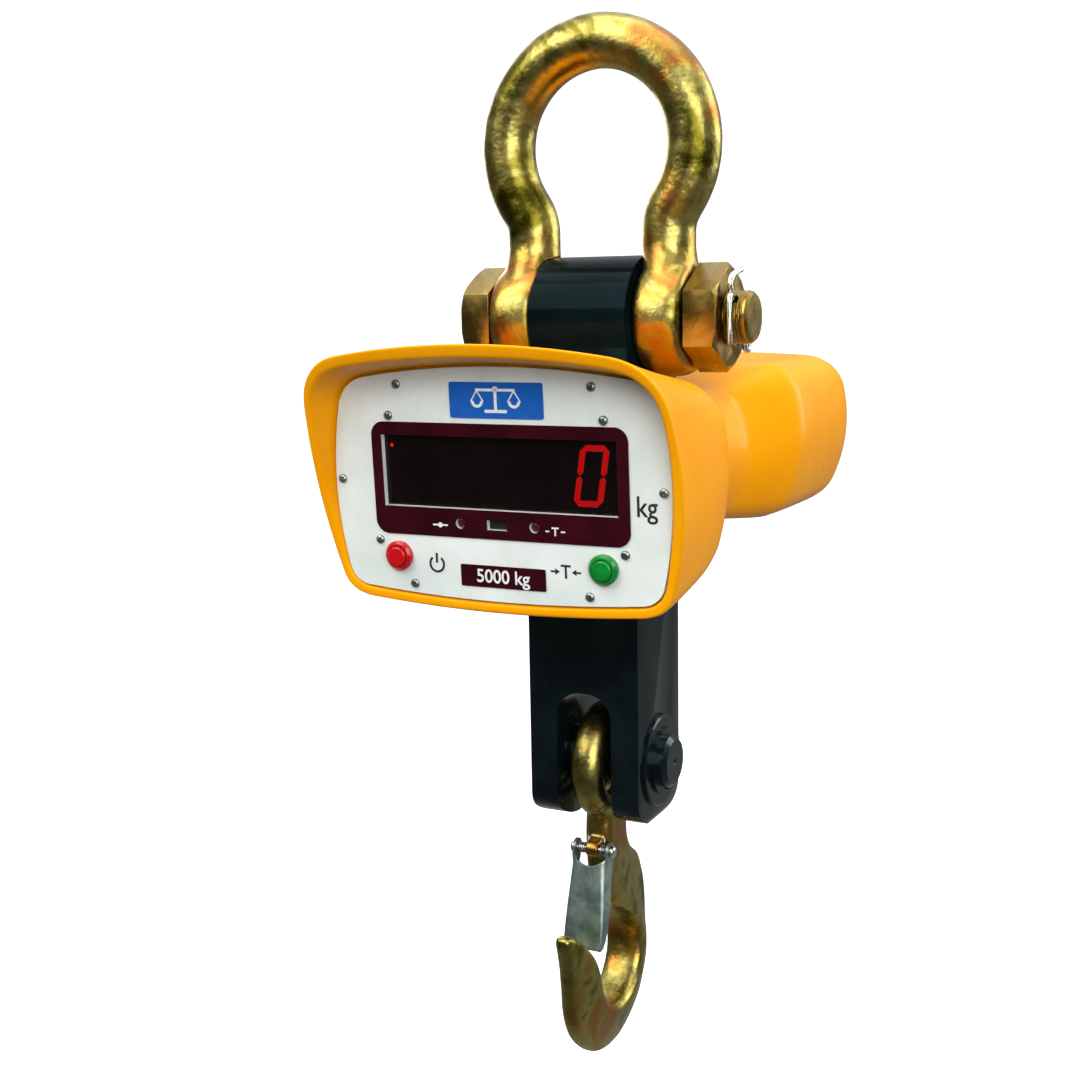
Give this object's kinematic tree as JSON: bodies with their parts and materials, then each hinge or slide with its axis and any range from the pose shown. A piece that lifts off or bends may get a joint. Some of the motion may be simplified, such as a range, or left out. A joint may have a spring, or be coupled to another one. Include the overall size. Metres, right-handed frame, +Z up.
{
  "type": "crane scale",
  "caption": "Hanging electronic crane scale: bow shackle on top, dumbbell-shaped housing with hooded digital display, load cell and clevis with a latched eye hook below.",
  "frame": {"origin": "inside top of the shackle bow, where the crane hook carries the scale", "axes": "+Z up through the load line, -Y towards the display, X along the shackle bolt"},
  "size_m": [0.1994, 0.3266, 0.5854],
  "materials": {
    "yellow_zinc_forging": "satin",
    "yellow_zinc_machined": "satin",
    "bright_zinc": "satin",
    "black_enamel": "gloss",
    "orange_enamel": "gloss",
    "white_enamel": "satin",
    "maroon_film": "gloss",
    "dark_filter": "gloss",
    "display_black": "satin",
    "circuit_board": "satin",
    "component_black": "satin",
    "black_rubber": "matte",
    "red_button": "gloss",
    "green_button": "gloss",
    "blue_plate": "gloss",
    "brass_post": "satin",
    "battery_case": "satin",
    "clear_lens": "gloss",
    "spring_steel": "satin"
  },
  "bodies": {
    "shackle": {"shackle_bow": "yellow_zinc_forging", "shackle_bolt": "yellow_zinc_machined", "shackle_nut": "yellow_zinc_machined", "cotter_pin": "bright_zinc"},
    "scale_body": {"load_cell": "black_enamel", "gauge_covers": "bright_zinc", "hook_clevis": "black_enamel", "stud_dowel": "spring_steel", "clevis_pin": "black_enamel", "pin_washer": "black_enamel", "pin_circlip": "black_enamel", "housing": "orange_enamel", "top_seal": "black_rubber", "bottom_seal": "black_rubber", "mount_brackets": "spring_steel", "bracket_screws": "bright_zinc", "panel_gasket": "black_rubber", "front_panel": "white_enamel", "display_bezel": "maroon_film", "display_filter": "dark_filter", "digit_modules": "display_black", "display_board": "circuit_board", "board_posts": "brass_post", "amplifier_board": "circuit_board", "board_components": "component_black", "status_leds": "clear_lens", "ir_receiver": "component_black", "panel_screws": "bright_zinc", "display_screws": "bright_zinc", "name_plate": "blue_plate", "rating_plate": "maroon_film", "power_bezel": "red_button", "tare_bezel": "green_button", "switch_bodies": "component_black", "switch_nuts": "bright_zinc", "battery_tray": "spring_steel", "battery_pack": "battery_case", "rear_gasket": "black_rubber", "rear_cover": "orange_enamel", "rear_cover_screws": "bright_zinc", "charge_socket": "component_black"},
    "hook": {"load_hook": "yellow_zinc_forging", "latch_pin": "bright_zinc", "latch_spring": "spring_steel"},
    "latch": {"safety_latch": "bright_zinc"},
    "power_button": {"power_button": "red_button"},
    "tare_button": {"tare_button": "green_button"}
  },
  "joints": [
    {"name": "shackle_swing", "type": "hinge", "parent": "shackle", "child": "scale_body", "pos_m": [0, 0, -0.132], "axis": [1, 0, 0], "range_deg": [-70, 70]},
    {"name": "hook_swing", "type": "hinge", "parent": "scale_body", "child": "hook", "pos_m": [0, 0, -0.3795], "axis": [1, 0, 0], "range_deg": [-60, 60]},
    {"name": "latch_swing", "type": "hinge", "parent": "hook", "child": "latch", "pos_m": [0, -0.019, -0.431], "axis": [1, 0, 0], "range_deg": [0, 35], "stiffness_Nm_per_rad": 0.1, "springref_deg": -20.05},
    {"name": "power_press", "type": "slide", "parent": "scale_body", "child": "power_button", "axis": [0, 0.9985, 0.0551], "range_m": [0, 0.0015], "stiffness_N_per_m": 1500, "springref_m": -0.001},
    {"name": "tare_press", "type": "slide", "parent": "scale_body", "child": "tare_button", "axis": [0, 0.9985, 0.0551], "range_m": [0, 0.0015], "stiffness_N_per_m": 1500, "springref_m": -0.001}
  ]
}
